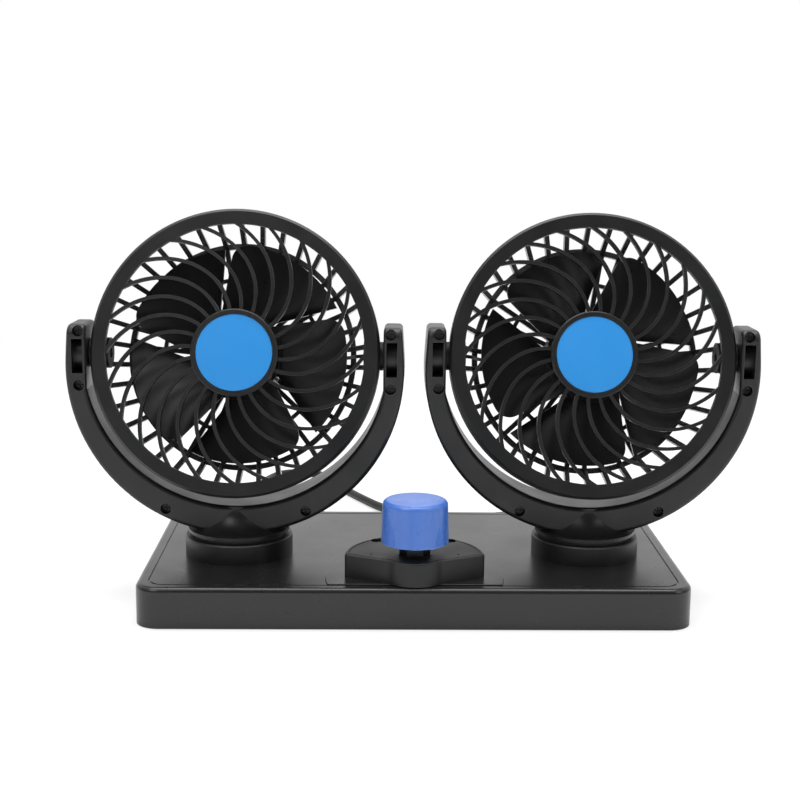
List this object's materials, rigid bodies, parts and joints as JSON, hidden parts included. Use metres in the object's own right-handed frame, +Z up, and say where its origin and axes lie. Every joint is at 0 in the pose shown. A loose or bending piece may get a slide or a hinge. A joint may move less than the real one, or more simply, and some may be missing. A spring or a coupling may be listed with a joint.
{
  "type": "dual head car fan",
  "caption": "Twin desk or dashboard fan: round caged heads that tilt in swivelling yokes on a shared slab base with one rotary speed knob and a 12 V lead.",
  "frame": {"origin": "middle of the base's underside, on the surface it stands on", "axes": "+X across the base from the left head to the right one as seen from the front, +Z up; the front with the knob faces -Y"},
  "size_m": [0.2654, 0.2375, 0.1494],
  "materials": {
    "black_gloss": "glossy moulded",
    "black_satin": "satin moulded",
    "black_matte": "matte moulded",
    "blade_black": "satin moulded",
    "washer_black": "satin moulded",
    "cap_blue": "satin moulded",
    "knob_blue": "satin moulded",
    "pad_rubber": "matte",
    "cord_black": "satin sheath",
    "tie_black": "satin moulded",
    "lead_red": "satin sheath",
    "board_green": "satin",
    "steel": "bright",
    "dark_steel": "black oxide",
    "motor_steel": "bright",
    "switch_steel": "plated",
    "contact_metal": "plated"
  },
  "bodies": {
    "base": {"base_housing": "black_gloss", "left_post": "black_gloss", "right_post": "black_gloss", "base_cover": "black_matte", "grip_pad": "pad_rubber", "base_screws": "steel", "control_island": "black_gloss", "island_screws": "dark_steel", "rotary_switch": "switch_steel", "switch_nut": "switch_steel", "speed_board": "board_green", "inner_leads": "lead_red", "cord_gland": "cord_black", "power_cord": "cord_black", "cord_coil": "cord_black", "coil_tie": "tie_black", "cord_tail": "cord_black", "plug_body": "black_matte", "plug_contacts": "contact_metal", "plug_nose": "black_gloss", "left_swivel_stem": "black_matte", "left_swivel_nut": "black_matte", "left_swivel_washer": "washer_black", "right_swivel_stem": "black_matte", "right_swivel_nut": "black_matte", "right_swivel_washer": "washer_black"},
    "knob": {"knob": "knob_blue", "switch_shaft": "switch_steel"},
    "plug_tip": {"plug_tip": "contact_metal"},
    "left_yoke": {"left_yoke_front": "black_satin", "left_yoke_rear": "black_satin", "left_yoke_screws": "dark_steel", "left_yoke_lead": "lead_red"},
    "left_head": {"left_front_grille": "black_satin", "left_hub_cap": "cap_blue", "left_rear_guard": "black_satin", "left_pivot_pins": "black_matte", "left_motor": "motor_steel", "left_motor_screws": "dark_steel", "left_motor_cover": "black_satin", "left_motor_lead": "cord_black"},
    "left_fan": {"left_impeller": "blade_black", "left_motor_shaft": "steel"},
    "right_yoke": {"right_yoke_front": "black_satin", "right_yoke_rear": "black_satin", "right_yoke_screws": "dark_steel", "right_yoke_lead": "lead_red"},
    "right_head": {"right_front_grille": "black_satin", "right_hub_cap": "cap_blue", "right_rear_guard": "black_satin", "right_pivot_pins": "black_matte", "right_motor": "motor_steel", "right_motor_screws": "dark_steel", "right_motor_cover": "black_satin", "right_motor_lead": "cord_black"},
    "right_fan": {"right_impeller": "blade_black", "right_motor_shaft": "steel"}
  },
  "joints": [
    {"name": "left_swivel", "type": "hinge", "parent": "base", "child": "left_yoke", "pos_m": [-0.0682, -0.0066, 0.0249], "axis": [0, 0, 1], "range_deg": [-168, 172]},
    {"name": "left_tilt", "type": "hinge", "parent": "left_yoke", "child": "left_head", "pos_m": [-0.0682, -0.0066, 0.09402], "axis": [-0.9994, 0.0349, 0], "range_deg": [-102.4, 77.6]},
    {"name": "left_spin", "type": "hinge", "parent": "left_head", "child": "left_fan", "pos_m": [-0.0682, -0.0066, 0.09402], "axis": [-0.0341, -0.9761, 0.2147], "continuous": true},
    {"name": "right_swivel", "type": "hinge", "parent": "base", "child": "right_yoke", "pos_m": [0.0682, -0.0066, 0.0249], "axis": [0, 0, 1], "range_deg": [-170, 170]},
    {"name": "right_tilt", "type": "hinge", "parent": "right_yoke", "child": "right_head", "pos_m": [0.0682, -0.0066, 0.09402], "axis": [-1, 0, 0], "range_deg": [-104.2, 75.8]},
    {"name": "right_spin", "type": "hinge", "parent": "right_head", "child": "right_fan", "pos_m": [0.0682, -0.0066, 0.09402], "axis": [0, -0.9694, 0.2453], "continuous": true},
    {"name": "speed_turn", "type": "hinge", "parent": "base", "child": "knob", "pos_m": [0, -0.041, 0.03], "axis": [0, 0, -1], "range_deg": [0, 270]},
    {"name": "tip_press", "type": "slide", "parent": "base", "child": "plug_tip", "axis": [-1, 0, 0], "range_m": [0, 0.003], "stiffness_N_per_m": 900, "springref_m": -0.002}
  ]
}
